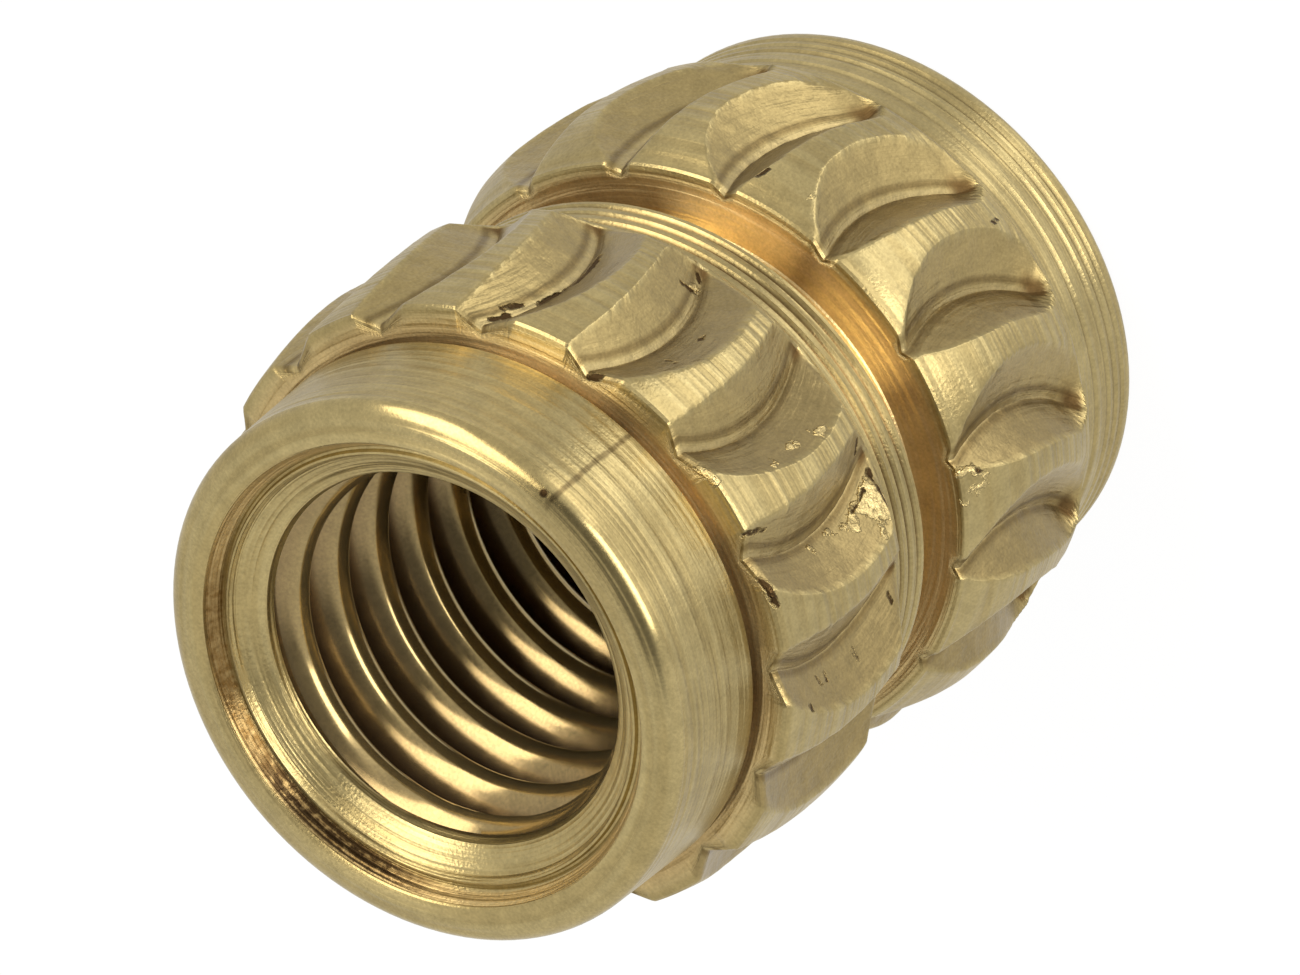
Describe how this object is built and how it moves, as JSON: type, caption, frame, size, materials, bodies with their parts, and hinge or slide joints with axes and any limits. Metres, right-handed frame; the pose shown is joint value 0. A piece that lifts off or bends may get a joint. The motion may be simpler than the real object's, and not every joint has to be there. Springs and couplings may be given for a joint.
{
  "type": "threaded insert",
  "caption": "Brass threaded insert for plastics: two knurled bands of curved saw teeth, a groove between them, a smooth pilot with a countersunk mouth, a short collar and a through thread.",
  "frame": {"origin": "centre of the collar end's face, on the insert's axis", "axes": "+Z along the axis towards the pilot and its countersunk mouth; X and Y across it"},
  "size_m": [0.0046, 0.0046, 0.0058],
  "materials": {
    "brass": "turned and knurled, satin to bright"
  },
  "bodies": {
    "root": {"insert_body": "brass"}
  },
  "joints": []
}
